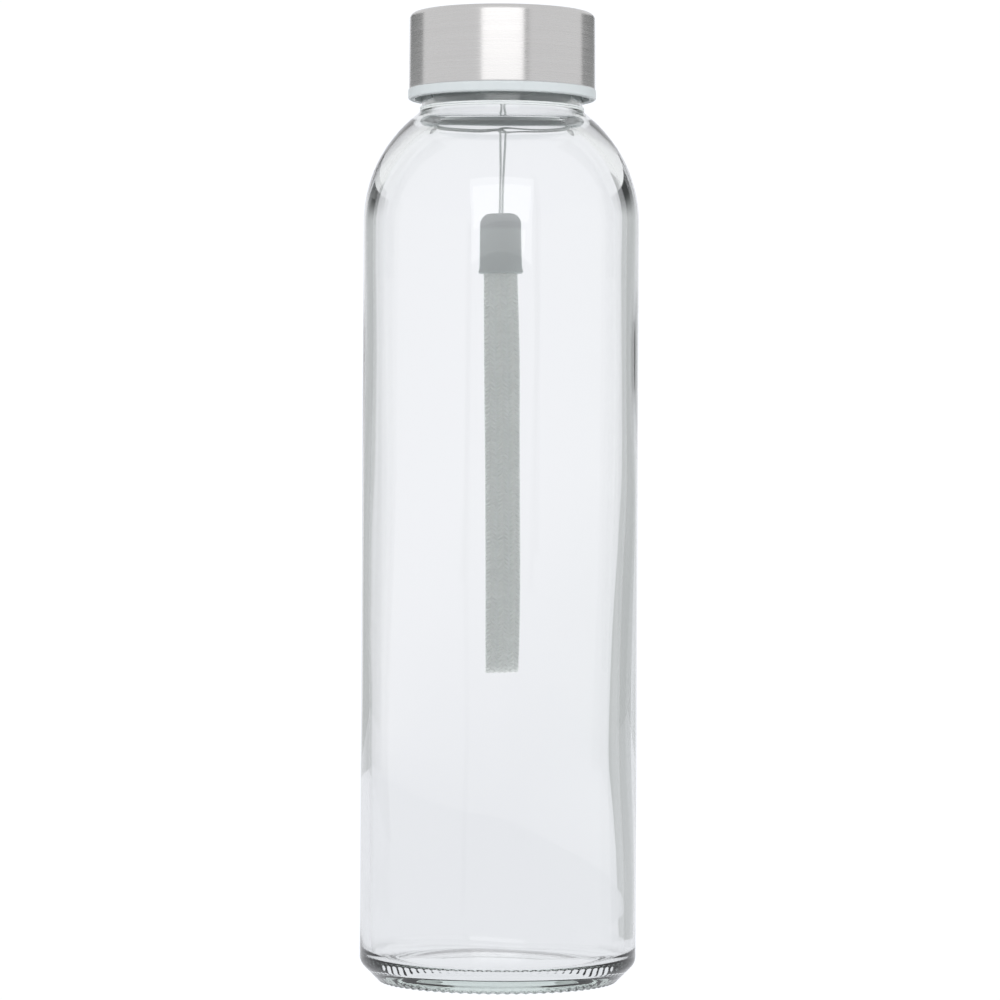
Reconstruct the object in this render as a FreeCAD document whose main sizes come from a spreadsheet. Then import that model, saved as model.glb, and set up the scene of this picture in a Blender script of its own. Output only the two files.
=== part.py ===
import FreeCAD, Part
import math
import os
import Sketcher

# Glass water bottle with a screw lid and a hanging wrist strap.
# Frame: millimetres, +Z up, origin at the centre of the base on the standing plane.
# The strap hangs on the +Y side. The bottle, its lid and its thread share the Z axis.

os.makedirs("parts", exist_ok=True)
doc = FreeCAD.newDocument("water_bottle")

DRIVING_SIZES = {
    # glass bottle
    "body_radius": 31.5,
    "wall": 2.4,
    "dome_height": 173.1,      # centre of the round shoulder
    "neck_radius": 18.4,
    "bore_radius": 15.9,
    "rim_height": 217.3,
    "heel_size": 4.5,          # 45 degree chamfer at the foot
    "push_up": 4.0,            # hollow under the base
    "ring_inner_radius": 25.0,
    "ring_lip": 0.9,
    "floor_height": 8.5,
    "floor_edge_height": 4.3,
    "heel_round": 3.0,
    "ring_round": 0.6,
    "inner_heel_round": 5.0,
    "neck_round": 1.0,
    "inner_neck_round": 3.0,
    "rim_round": 1.0,
    # thread: right-handed, six turns to the inch
    "thread_pitch": 4.2333,
    "thread_turns": 1.5,
    "thread_start": 206.4,
    "thread_depth": 1.1,
    "thread_root_width": 2.0,
    "thread_crest_width": 1.1,
    "thread_bury": 0.4,
    # lid
    "lid_top": 221.1,
    "shell_bottom": 203.7,
    "shell_top_radius": 21.2,
    "shell_bottom_radius": 21.3,
    "shell_wall": 0.45,
    "shell_round": 1.4,
    "liner_gap": 0.05,
    "liner_rim_radius": 21.5,
    "liner_rim_bottom": 201.4,
    "liner_rim_round": 0.5,
    "liner_bore_radius": 19.8,
    "liner_plate": 1.75,
    "liner_thread_depth": 1.0,
    "liner_thread_root_width": 1.6,
    "liner_thread_crest_width": 0.9,
    "liner_thread_turns": 1.25,
    "liner_thread_start": 204.3,
    "bead_depth": 0.6,
    "bead_width": 0.3,
    "bead_height": 216.9,
    "seal_thickness": 1.5,
    "seal_inner_radius": 14.6,
    "seal_outer_radius": 19.6,
    "seal_gap": 0.05,
    # string
    "string_radius": 0.4,
    "string_gap": 0.15,        # between the neck and the string round it
    "string_low": 199.75,
    "string_pitch": 0.9,
    "hitch_wide": 1.3,
    "hitch_deep": 0.9,
    "hitch_tall": 0.95,
    "hitch_out": 19.55,
    # ferrule, measured from the middle of its top
    "strap_top": 177.9,
    "strap_out": 34.3,
    "strap_tilt": 0.83,        # degrees off plumb
    "ferrule_top_width": 10.2,
    "ferrule_bottom_width": 10.7,
    "ferrule_side": 14.2,
    "ferrule_sag": 0.5,
    "ferrule_thickness": 5.0,
    "ferrule_corner": 3.0,
    "ferrule_foot_corner": 1.2,
    "ferrule_edge": 0.9,
    "slot_width": 8.3,
    "slot_thickness": 2.8,
    "slot_depth": 9.0,
    "string_hole_width": 2.0,
    "string_hole_thickness": 1.0,
    # webbing
    "webbing_width": 8.0,
    "webbing_thickness": 1.2,
    "webbing_leg": 1.8,        # from the middle of the loop to the middle of a leg
    "webbing_end_leg": 0.7,
    "webbing_bottom": 108.0,
    "webbing_spread": 23.0,
    "webbing_end": 6.0,
    "webbing_bend": 12.0,
}

sheet = doc.addObject("Spreadsheet::Sheet", "Sizes")
for row, (alias, number) in enumerate(DRIVING_SIZES.items(), start=1):
    sheet.set(f"A{row}", alias)
    sheet.set(f"B{row}", str(number))
    sheet.setAlias(f"B{row}", alias)
doc.recompute()


class Size:
    """A value worked out from the sheet, with the expression that binds it there."""

    def __init__(self, value, text):
        self.value = value
        self.text = text

    def join(self, other, sign, value):
        other_text = other.text if isinstance(other, Size) else str(other)
        return Size(value, f"({self.text} {sign} {other_text})")

    def __add__(self, other):
        return self.join(other, "+", self.value + number_of(other))

    def __sub__(self, other):
        return self.join(other, "-", self.value - number_of(other))

    def __mul__(self, other):
        return self.join(other, "*", self.value * number_of(other))

    def __truediv__(self, other):
        return self.join(other, "/", self.value / number_of(other))

    def __neg__(self):
        return Size(-self.value, f"(-{self.text})")


def number_of(size):
    return size.value if isinstance(size, Size) else float(size)


def cell(alias):
    return Size(float(sheet.get(alias)), f"Sizes.{alias}")


def bind(feature, name, size):
    setattr(feature, name, size.value)
    feature.setExpression(name, size.text)


def new_body(node):
    body = doc.addObject("PartDesign::Body", node)
    body.Label = node
    return body


def new_sketch(body, name, role, drop=0.0):
    """An empty sketch on one of the body's own planes, moved along its normal by drop."""
    plane = next(item for item in body.Origin.OriginFeatures if item.Role == role)
    sketch = body.newObject("Sketcher::SketchObject", name)
    sketch.AttachmentSupport = (plane, "")
    sketch.MapMode = "FlatFace"
    sketch.AttachmentOffset = FreeCAD.Placement(FreeCAD.Vector(0, 0, drop), FreeCAD.Rotation())
    return sketch


def pin_point(sketch, curve, end, across, up):
    """Bind one end of a curve to a place measured from the sketch's origin."""
    for kind, size in (("DistanceX", across), ("DistanceY", up)):
        if size is None:
            continue
        if number_of(size) == 0.0:
            axis = -2 if kind == "DistanceX" else -1
            sketch.addConstraint(Sketcher.Constraint("PointOnObject", curve, end, axis))
            continue
        index = sketch.addConstraint(Sketcher.Constraint(kind, -1, 1, curve, end, size.value))
        sketch.setExpression(f"Constraints[{index}]", size.text)


def arc_between(start, finish, centre_up):
    """The arc about a point on the upright axis, and whether it runs start to finish."""
    centre = FreeCAD.Vector(0, centre_up, 0)
    radius = (start - centre).Length
    first, last = (math.atan2(p.y - centre_up, p.x) for p in (start, finish))
    forward = (last - first) % (2 * math.pi) < math.pi
    if not forward:
        first, last = last, first
    circle = Part.Circle(centre, FreeCAD.Vector(0, 0, 1), radius)
    return Part.ArcOfCircle(circle, first, last), forward


def draw_outline(sketch, corners, domes=None):
    """Draw a closed outline through corners given as (across, up) sizes.

    domes holds, for each side that is round, the height of its centre on the upright axis,
    or None where its two ends settle it. A corner's height may be a plain number:
    then the sides that meet there settle it."""
    domes = domes or {}
    points = [FreeCAD.Vector(number_of(a), number_of(u), 0) for a, u in corners]
    ends = []
    for side, start in enumerate(points):
        finish = points[(side + 1) % len(points)]
        if side not in domes:
            curve = sketch.addGeometry(Part.LineSegment(start, finish), False)
            ends.append((curve, 1, 2))
            continue
        centre_up = domes[side]
        height = number_of(centre_up) if centre_up is not None else (
            (start.x ** 2 - finish.x ** 2 + start.y ** 2 - finish.y ** 2)
            / (2 * (start.y - finish.y)))
        arc, forward = arc_between(start, finish, height)
        curve = sketch.addGeometry(arc, False)
        ends.append((curve, 1, 2) if forward else (curve, 2, 1))
        pin_point(sketch, curve, 3, 0, centre_up)
    for side, (curve, start_end, _) in enumerate(ends):
        before, _, before_end = ends[side - 1]
        sketch.addConstraint(Sketcher.Constraint("Coincident", before, before_end, curve, start_end))
        across, up = corners[side]
        pin_point(sketch, curve, start_end, across, up if isinstance(up, Size) or up == 0 else None)


def draw_rectangle(sketch, width, thickness):
    across, up = width / 2, thickness / 2
    draw_outline(sketch, [(across, up), (-across, up), (-across, -up), (across, -up)])


def revolve(body, sketch):
    feature = body.newObject("PartDesign::Revolution", f"{body.Name}_revolved")
    feature.Profile = sketch
    feature.ReferenceAxis = (sketch, ["V_Axis"])
    feature.Angle = 360.0
    doc.recompute()
    return feature


def edges_at(feature, radius, height):
    """Names of the round edges of a turned feature at one radius and height."""
    names = []
    for index, edge in enumerate(feature.Shape.Edges, start=1):
        if edge.Degenerated or not isinstance(edge.Curve, Part.Circle):
            continue
        circle = edge.Curve
        if abs(circle.Radius - radius) < 0.01 and abs(circle.Center.z - height) < 0.01:
            names.append(f"Edge{index}")
    return names


def round_edges(body, base, names, size, name):
    feature = body.newObject("PartDesign::Fillet", f"{body.Name}_{name}")
    feature.Base = (base, names)
    bind(feature, "Radius", size)
    doc.recompute()
    if not names or abs(feature.Shape.Volume - base.Shape.Volume) < 1e-6:
        raise RuntimeError(f"{body.Name}: {name} changed nothing")
    return feature


def add_thread(body, root, crest, root_width, crest_width, start, turns):
    """A right-handed thread from root to crest, its middle at the start height over +X."""
    half_root, half_crest = root_width / 2, crest_width / 2
    sketch = new_sketch(body, f"{body.Name}_thread_section", "XZ_Plane")
    draw_outline(sketch, [
        (root, start - half_root),
        (crest, start - half_crest),
        (crest, start + half_crest),
        (root, start + half_root),
    ])
    before = body.Shape.Volume
    thread = body.newObject("PartDesign::AdditiveHelix", f"{body.Name}_thread")
    thread.Profile = sketch
    thread.ReferenceAxis = (sketch, ["V_Axis"])
    thread.Mode = "pitch-turns-angle"
    bind(thread, "Pitch", cell("thread_pitch"))
    bind(thread, "Turns", turns)
    thread.Angle = 0.0
    thread.LeftHanded = False
    doc.recompute()
    print(body.Name, "thread adds", round(thread.Shape.Volume - before, 1), "mm3")
    return thread


def make_glass_bottle():
    body = new_body("glass_bottle")
    outer, inner = cell("body_radius"), cell("body_radius") - cell("wall")
    neck, bore, rim = cell("neck_radius"), cell("bore_radius"), cell("rim_height")
    heel, dome = cell("heel_size"), cell("dome_height")
    ring = cell("ring_inner_radius")
    shoulder_end = dome.value + math.sqrt(outer.value ** 2 - neck.value ** 2)
    inner_shoulder_end = dome.value + math.sqrt(inner.value ** 2 - bore.value ** 2)
    sketch = new_sketch(body, "glass_section", "XZ_Plane")
    draw_outline(sketch, [
        (0, cell("push_up")),
        (ring - cell("ring_lip"), cell("ring_lip")),
        (ring, 0),
        (outer - heel, 0),
        (outer, heel),
        (outer, dome),
        (neck, shoulder_end),
        (neck, rim),
        (bore, rim),
        (bore, inner_shoulder_end),
        (inner, dome),
        (inner, cell("floor_edge_height")),
        (0, cell("floor_height")),
    ], domes={0: None, 5: dome, 9: dome, 11: None})
    glass = revolve(body, sketch)
    rounds = [
        ("heel_top", outer.value, heel.value, cell("heel_round")),
        ("ring_outside", (outer - heel).value, 0, cell("ring_round")),
        ("ring_inside", ring.value, 0, cell("ring_round")),
        ("inner_heel", inner.value, cell("floor_edge_height").value, cell("inner_heel_round")),
        ("neck_foot", neck.value, shoulder_end, cell("neck_round")),
        ("inner_neck_foot", bore.value, inner_shoulder_end, cell("inner_neck_round")),
        ("rim_outside", neck.value, rim.value, cell("rim_round")),
        ("rim_inside", bore.value, rim.value, cell("rim_round")),
    ]
    for name, radius, height, size in rounds:
        glass = round_edges(body, glass, edges_at(glass, radius, height), size, name)
    add_thread(body, neck - cell("thread_bury"), neck + cell("thread_depth"),
               cell("thread_root_width"), cell("thread_crest_width"),
               cell("thread_start"), cell("thread_turns"))
    return body


def make_lid_shell():
    body = new_body("lid_shell")
    top, bottom, wall = cell("lid_top"), cell("shell_bottom"), cell("shell_wall")
    top_radius, bottom_radius = cell("shell_top_radius"), cell("shell_bottom_radius")
    sketch = new_sketch(body, "shell_section", "XZ_Plane")
    draw_outline(sketch, [
        (0, top - wall),
        (top_radius - wall, top - wall),
        (bottom_radius - wall, bottom),
        (bottom_radius, bottom),
        (top_radius, top),
        (0, top),
    ])
    shell = revolve(body, sketch)
    shell = round_edges(body, shell, edges_at(shell, top_radius.value, top.value),
                        cell("shell_round"), "outer_top")
    round_edges(body, shell, edges_at(shell, (top_radius - wall).value, (top - wall).value),
                cell("shell_round") - wall, "inner_top")
    return body


def make_lid_liner():
    body = new_body("lid_liner")
    gap, bottom = cell("liner_gap"), cell("liner_rim_bottom")
    skirt = cell("shell_top_radius") - cell("shell_wall") - gap
    plate_top = cell("lid_top") - cell("shell_wall") - gap
    plate_bottom = plate_top - cell("liner_plate")
    rim, bore = cell("liner_rim_radius"), cell("liner_bore_radius")
    bead, half_bead = cell("bead_height"), cell("bead_width") / 2
    sketch = new_sketch(body, "liner_section", "XZ_Plane")
    draw_outline(sketch, [
        (bore, bottom),
        (rim, bottom),
        (rim, cell("shell_bottom")),
        (skirt, cell("shell_bottom")),
        (skirt, plate_top),
        (0, plate_top),
        (0, plate_bottom),
        (bore, plate_bottom),
        (bore, bead + half_bead),
        (bore - cell("bead_depth"), bead + half_bead),
        (bore - cell("bead_depth"), bead - half_bead),
        (bore, bead - cell("bead_depth")),
    ])
    liner = revolve(body, sketch)
    liner = round_edges(body, liner, edges_at(liner, rim.value, bottom.value),
                        cell("liner_rim_round"), "rim_outside")
    round_edges(body, liner, edges_at(liner, skirt.value, plate_top.value),
                cell("shell_round") - cell("shell_wall"), "plate_edge")
    add_thread(body, bore + cell("thread_bury"), bore - cell("liner_thread_depth"),
               cell("liner_thread_root_width"), cell("liner_thread_crest_width"),
               cell("liner_thread_start"), cell("liner_thread_turns"))
    return body


def make_lid_seal():
    body = new_body("lid_seal")
    bottom = cell("rim_height") + cell("seal_gap")
    inner, outer = cell("seal_inner_radius"), cell("seal_outer_radius")
    top = bottom + cell("seal_thickness")
    sketch = new_sketch(body, "seal_section", "XZ_Plane")
    draw_outline(sketch, [(inner, bottom), (outer, bottom), (outer, top), (inner, top)])
    revolve(body, sketch)
    return body


def make_string_neck_loop():
    """The doubled string round the neck: two rings, joined by the hitch at the back."""
    ring_radius = cell("neck_radius") + cell("string_gap") + cell("string_radius")
    low, high = cell("string_low"), cell("string_low") + cell("string_pitch")
    pieces = []
    for name, height in (("low_ring", low), ("high_ring", high)):
        ring = doc.addObject("Part::Torus", name)
        bind(ring, "Radius1", ring_radius)
        bind(ring, "Radius2", cell("string_radius"))
        ring.setExpression("Placement.Base.z", height.text)
        pieces.append(ring)
    hitch = doc.addObject("Part::Ellipsoid", "hitch")
    bind(hitch, "Radius1", cell("hitch_tall"))
    bind(hitch, "Radius2", cell("hitch_wide"))
    bind(hitch, "Radius3", cell("hitch_deep"))
    hitch.setExpression("Placement.Base.y", cell("hitch_out").text)
    hitch.setExpression("Placement.Base.z", (low + cell("string_pitch") / 2).text)
    pieces.append(hitch)
    loop = doc.addObject("Part::MultiFuse", "string_neck_loop")
    loop.Label = "string_neck_loop"
    loop.Shapes = pieces
    doc.recompute()
    return loop


def rounded_path(points, share=0.45):
    """Straight runs joined by tangent arcs, each as large as its two runs allow."""
    edges, radii, start = [], [], points[0]
    for before, corner, after in zip(points, points[1:], points[2:]):
        towards, onwards = before - corner, after - corner
        turn = math.pi - towards.getAngle(onwards)
        reach = share * min(towards.Length, onwards.Length)
        towards.normalize()
        onwards.normalize()
        entry, leave = corner + towards * reach, corner + onwards * reach
        radius = reach / math.tan(turn / 2)
        bisector = (towards + onwards).normalize()
        to_middle = radius / math.cos(turn / 2) - radius
        edges.append(Part.LineSegment(start, entry).toShape())
        edges.append(Part.Arc(entry, corner + bisector * to_middle, leave).toShape())
        radii.append(round(radius, 1))
        start = leave
    edges.append(Part.LineSegment(start, points[-1]).toShape())
    return Part.Wire(edges), radii


def tube_along(points, radius):
    """A round tube along rounded_path(points), its volume compared with section times length."""
    path, radii = rounded_path(points)
    first_run = points[1] - points[0]
    section = Part.Wire(Part.Circle(points[0], first_run, radius).toShape())
    tube = path.makePipeShell([section], True, False)
    expected = math.pi * radius ** 2 * path.Length
    print("string strand: length", round(path.Length, 2), "arc radii", radii,
          "volume ratio", round(tube.Volume / expected, 4))
    return tube


def make_string_drop():
    """Two strands from the hitch over the shoulder down to the ferrule's top."""
    radius = cell("string_radius").value
    route = [                      # half spacing across X, then Y, then Z
        (0.72, 20.85, 199.45),
        (0.60, 23.60, 196.00),
        (0.47, 28.00, 189.70),
        (0.46, 31.50, 183.60),
        (0.45, cell("strap_out").value, cell("strap_top").value + 0.3),
    ]
    strands = [tube_along([FreeCAD.Vector(side * x, y, z) for x, y, z in route], radius)
               for side in (-1, 1)]
    drop = doc.addObject("Part::Feature", "string_drop")
    drop.Label = "string_drop"
    drop.Shape = Part.makeCompound(strands)
    return drop


def hang_on_strap(piece):
    """Place a piece that is drawn about the middle of the ferrule's top."""
    top = FreeCAD.Vector(0, cell("strap_out").value, cell("strap_top").value)
    tilt = FreeCAD.Rotation(FreeCAD.Vector(0, 1, 0), -cell("strap_tilt").value)
    piece.Placement = FreeCAD.Placement(top, tilt)
    piece.setExpression("Placement.Base.y", "Sizes.strap_out")
    piece.setExpression("Placement.Base.z", "Sizes.strap_top")


def make_strap_ferrule():
    body = new_body("strap_ferrule")
    half_top, half_bottom = cell("ferrule_top_width") / 2, cell("ferrule_bottom_width") / 2
    side, sag = cell("ferrule_side"), cell("ferrule_sag")
    thickness = cell("ferrule_thickness")
    outline = new_sketch(body, "ferrule_outline", "XZ_Plane")
    draw_outline(outline, [
        (half_top, 0),
        (-half_top, 0),
        (-half_bottom, -side),
        (0, -side - sag),
        (half_bottom, -side),
    ], domes={2: None, 3: None})
    block = body.newObject("PartDesign::Pad", "ferrule_block")
    block.Profile = outline
    bind(block, "Length", thickness)
    block.Midplane = True
    doc.recompute()
    for name, height, size in (("top_corners", 0, cell("ferrule_corner")),
                               ("foot_corners", -side.value, cell("ferrule_foot_corner"))):
        corners = [f"Edge{index}" for index, edge in enumerate(block.Shape.Edges, start=1)
                   if edge.BoundBox.ZLength < 0.01 and abs(edge.CenterOfMass.y) < 0.01
                   and abs(edge.CenterOfMass.z - height) < 0.01]
        block = round_edges(body, block, corners, size, name)
    outer = thickness.value / 2
    rims = [f"Edge{index}" for index, edge in enumerate(block.Shape.Edges, start=1)
            if edge.BoundBox.YLength < 0.01 and abs(abs(edge.CenterOfMass.y) - outer) < 0.01]
    block = round_edges(body, block, rims, cell("ferrule_edge"), "rims")
    solid_volume = block.Shape.Volume

    slot_sketch = new_sketch(body, "slot_outline", "XY_Plane", -(side + sag * 2).value)
    draw_rectangle(slot_sketch, cell("slot_width"), cell("slot_thickness"))
    slot = body.newObject("PartDesign::Pocket", "webbing_slot")
    slot.Profile = slot_sketch
    bind(slot, "Length", cell("slot_depth") + sag)
    slot.Reversed = True
    doc.recompute()

    hole_sketch = new_sketch(body, "string_hole_outline", "XY_Plane")
    draw_rectangle(hole_sketch, cell("string_hole_width"), cell("string_hole_thickness"))
    hole = body.newObject("PartDesign::Pocket", "string_hole")
    hole.Profile = hole_sketch
    bind(hole, "Length", side - cell("slot_depth"))
    doc.recompute()
    print("ferrule: solid", round(solid_volume, 1), "slotted", round(slot.Shape.Volume, 1),
          "with the string's hole", round(hole.Shape.Volume, 1), "mm3")
    hang_on_strap(body)
    return body


def make_strap_webbing():
    """One flat band: down the near leg, round the bottom fold and up the far leg."""
    leg, end_leg = cell("webbing_leg").value, cell("webbing_end_leg").value
    bottom = -cell("webbing_bottom").value + cell("webbing_thickness").value / 2
    spread, end = -cell("webbing_spread").value, -cell("webbing_end").value
    leave = -(cell("ferrule_side") + cell("ferrule_sag")).value - 0.3
    half_width, half_thick = cell("webbing_width").value / 2, cell("webbing_thickness").value / 2

    def leg_edges(direction):
        """The near or the far leg, from inside the ferrule down to the fold."""
        points = [FreeCAD.Vector(0, direction * across, up) for across, up in (
            (end_leg, end), (end_leg, leave), (leg, spread), (leg, bottom + leg))]
        edges, start = [], points[0]
        for before, corner, after in zip(points, points[1:], points[2:]):
            towards, onwards = (before - corner).normalize(), (after - corner).normalize()
            turn = math.pi - towards.getAngle(onwards)
            radius = cell("webbing_bend").value
            reach = radius * math.tan(turn / 2)
            middle = (towards + onwards).normalize() * (radius / math.cos(turn / 2) - radius)
            edges.append(Part.LineSegment(start, corner + towards * reach).toShape())
            edges.append(Part.Arc(corner + towards * reach, corner + middle,
                                  corner + onwards * reach).toShape())
            start = corner + onwards * reach
        edges.append(Part.LineSegment(start, points[-1]).toShape())
        return edges

    fold = Part.Arc(FreeCAD.Vector(0, -leg, bottom + leg), FreeCAD.Vector(0, 0, bottom),
                    FreeCAD.Vector(0, leg, bottom + leg)).toShape()
    near, far = leg_edges(-1), leg_edges(1)
    path = Part.Wire(near + [fold] + far[::-1])
    section = Part.makePolygon([FreeCAD.Vector(x, -end_leg + y, end) for x, y in (
        (half_width, half_thick), (-half_width, half_thick),
        (-half_width, -half_thick), (half_width, -half_thick), (half_width, half_thick))])
    band = path.makePipeShell([section], True, False)
    expected = 4 * half_width * half_thick * path.Length
    print("webbing: length", round(path.Length, 1), "fold radius", leg,
          "volume ratio", round(band.Volume / expected, 4))
    webbing = doc.addObject("Part::Feature", "strap_webbing")
    webbing.Label = "strap_webbing"
    webbing.Shape = band
    hang_on_strap(webbing)
    return webbing


sub_parts = [
    make_glass_bottle(),
    make_lid_shell(),
    make_lid_liner(),
    make_lid_seal(),
    make_string_neck_loop(),
    make_string_drop(),
    make_strap_ferrule(),
    make_strap_webbing(),
]
doc.recompute()

failed = [item.Label for item in doc.Objects
          if "Invalid" in item.State or "Error" in item.State]
if failed:
    raise RuntimeError(f"failed objects: {failed}")

for sub_part in sub_parts:
    shape = sub_part.Shape
    if shape.isNull() or not shape.isValid() or not shape.Solids:
        raise RuntimeError(f"{sub_part.Label} has no valid solid")
    box = shape.BoundBox
    print(f"{sub_part.Label}: {len(shape.Solids)} solid(s), {shape.Volume / 1000:.2f} cm3, "
          f"x {box.XMin:.2f} to {box.XMax:.2f}, y {box.YMin:.2f} to {box.YMax:.2f}, "
          f"z {box.ZMin:.2f} to {box.ZMax:.2f}")
    shape.exportStep(f"parts/{sub_part.Label}.step")
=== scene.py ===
import math
import bpy
import numpy as np
from mathutils import Matrix, Vector, noise


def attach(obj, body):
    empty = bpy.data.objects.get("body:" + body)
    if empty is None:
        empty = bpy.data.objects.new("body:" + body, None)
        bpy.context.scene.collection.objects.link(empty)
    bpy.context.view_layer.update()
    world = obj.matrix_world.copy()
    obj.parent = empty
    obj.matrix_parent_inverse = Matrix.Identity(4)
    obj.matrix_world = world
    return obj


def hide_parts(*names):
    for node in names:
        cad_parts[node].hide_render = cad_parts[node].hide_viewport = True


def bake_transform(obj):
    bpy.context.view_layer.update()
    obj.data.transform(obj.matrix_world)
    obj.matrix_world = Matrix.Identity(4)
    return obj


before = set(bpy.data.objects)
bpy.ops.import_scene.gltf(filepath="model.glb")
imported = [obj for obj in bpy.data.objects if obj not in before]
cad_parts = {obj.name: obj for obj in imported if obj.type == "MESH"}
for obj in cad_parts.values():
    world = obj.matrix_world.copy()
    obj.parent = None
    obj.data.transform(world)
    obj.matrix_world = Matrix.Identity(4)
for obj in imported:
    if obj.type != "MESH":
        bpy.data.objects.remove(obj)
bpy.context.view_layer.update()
print("frame loaded:", sorted(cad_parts))


def mm(value):
    return value * 0.001


def useOnly(piece):
    bpy.ops.object.select_all(action="DESELECT")
    piece.select_set(True)
    bpy.context.view_layer.objects.active = piece


def linear(hexColour):  # sRGB hex to the linear colour that a shader takes
    channels = [int(hexColour[i:i + 2], 16) / 255 for i in (1, 3, 5)]
    return tuple(c / 12.92 if c <= 0.04045 else ((c + 0.055) / 1.055) ** 2.4
                 for c in channels) + (1.0,)


def addNode(tree, kind, inputs=None, links=None, **settings):
    node = tree.nodes.new(kind)
    for name, value in settings.items():
        setattr(node, name, value)
    for name, value in (inputs or {}).items():
        node.inputs[name].default_value = value
    for name, source in (links or {}).items():
        tree.links.new(source, node.inputs[name])
    return node


def newMaterial(name, values):
    material = bpy.data.materials.new(name)
    material.use_nodes = True
    shader = material.node_tree.nodes["Principled BSDF"]
    for socket, value in values.items():
        shader.inputs[socket].default_value = value
    return material, material.node_tree, shader


def finishWith(piece, material):
    piece.data.materials.clear()
    piece.data.materials.append(material)


# The camera: level, at mid height of the bottle, a hair off plumb as it was held.
camera = {
    "distance": 0.9266,
    "height": 0.1099,
    "focal": 145.8,
    "azimuth": 0.2,    # degrees round from straight ahead
    "roll": 0.30,
}


def makeCamera():
    azimuth = math.radians(camera["azimuth"])
    ahead = Vector((math.sin(azimuth), math.cos(azimuth), 0))
    view = bpy.data.cameras.new("camera")
    view.lens = camera["focal"]
    view.sensor_width = 36
    view.clip_start = 0.01
    rig = bpy.data.objects.new("camera", view)
    bpy.context.scene.collection.objects.link(rig)
    turn = ahead.to_track_quat("-Z", "Y").to_matrix().to_4x4()
    rig.matrix_world = (Matrix.Translation(Vector((0, 0, camera["height"]))
                                           - ahead * camera["distance"])
                        @ turn @ Matrix.Rotation(math.radians(camera["roll"]), 4, "Z"))
    bpy.context.scene.camera = rig


makeCamera()


# Shapes turned about the bottle's axis. Outlines are (radius, height) in millimetres.
def arc(centreRadius, centreHeight, radius, startAngle, endAngle, steps):
    points = []
    for step in range(steps + 1):
        angle = math.radians(startAngle + (endAngle - startAngle) * step / steps)
        points.append((centreRadius + radius * math.cos(angle),
                       centreHeight + radius * math.sin(angle)))
    return points


def evenly(start, end, count):
    return [start + (end - start) * step / count for step in range(count + 1)]


def spinPiece(name, outline, columns, sharp=35):
    bpy.ops.object.select_all(action="DESELECT")
    firstRadius, firstHeight = outline[0]
    bpy.ops.mesh.primitive_plane_add(size=0.0005, location=(mm(firstRadius), 0, mm(firstHeight)))
    piece = bpy.context.object
    piece.name = piece.data.name = name
    bpy.ops.object.transform_apply(location=True, rotation=True, scale=True)
    bpy.ops.object.mode_set(mode="EDIT")
    bpy.ops.mesh.select_all(action="SELECT")
    bpy.ops.mesh.merge(type="CENTER")
    for (radius, height), (nextRadius, nextHeight) in zip(outline, outline[1:]):
        step = (mm(nextRadius - radius), 0, mm(nextHeight - height))
        bpy.ops.mesh.extrude_region_move(TRANSFORM_OT_translate={"value": step})
    bpy.ops.mesh.select_all(action="SELECT")
    bpy.ops.mesh.spin(steps=columns, angle=2 * math.pi, center=(0, 0, 0), axis=(0, 0, 1))
    bpy.ops.mesh.select_all(action="SELECT")
    bpy.ops.mesh.remove_doubles(threshold=0.000002)
    bpy.ops.mesh.normals_make_consistent(inside=False)
    bpy.ops.object.mode_set(mode="OBJECT")
    bpy.ops.object.shade_smooth_by_angle(angle=math.radians(sharp))
    return piece


def movePoints(piece, change):  # change takes a point in mm and gives the new one
    for vertex in piece.data.vertices:
        vertex.co = change(vertex.co * 1000) * 0.001
    piece.data.update()


def atRadius(point, radius):
    flat = math.hypot(point.x, point.y)
    return Vector((point.x * radius / flat, point.y * radius / flat, point.z))


def smoothStep(value):
    value = min(1.0, max(0.0, value))
    return value * value * (3 - 2 * value)


def threadRise(point, thread):  # 0 at the root of the thread, 1 on its crest
    angle = math.atan2(point.y, point.x) % (2 * math.pi) / (2 * math.pi)
    rise = 0.0
    for turn in range(3):
        along = angle + turn
        ends = min(along, thread["turns"] - along) / thread["runOut"]
        off = abs(point.z - thread["start"] - along * thread["pitch"])
        flank = (thread["root"] / 2 - off) / (thread["root"] / 2 - thread["crest"] / 2)
        rise = max(rise, smoothStep(ends) * smoothStep(flank))
    return rise


glass = {
    "radius": 31.5, "wall": 2.4, "domeHeight": 173.1, "neck": 18.4, "bore": 15.9, "rim": 217.3,
    "heel": 4.5, "heelRound": 3.0, "neckRound": 1.6, "rimRound": 1.0,
    "innerRise": 27.6, "innerNeckRound": 3.0,    # the inside of the shoulder, and its corner to the bore
    "pushUp": 4.0, "ringInner": 24.1, "ringLip": 0.9,
    "floor": 7.0, "floorEdge": 3.6, "innerHeelRound": 3.6,
    "stipples": 80, "stippleDepth": 0.28, "stippleInner": 24.9, "stippleOuter": 27.9,
    "columns": 400, "waviness": 0.16, "waveAcross": 14.0, "waveUp": 42.0, "waveFrom": 9, "waveTo": 196,
    # how far the blown inside sits off centre, towards -X, at heights up the body
    "offCentre": [(9, 0.2), (30, 0.5), (50, 1.0), (80, 0.75), (115, 0.2), (165, 0.25), (190, 0.0)],
    "thread": {"pitch": 4.2333, "turns": 1.5, "start": 206.4, "root": 2.4, "crest": 0.7,
               "depth": 1.05, "runOut": 0.08},
}


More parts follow.
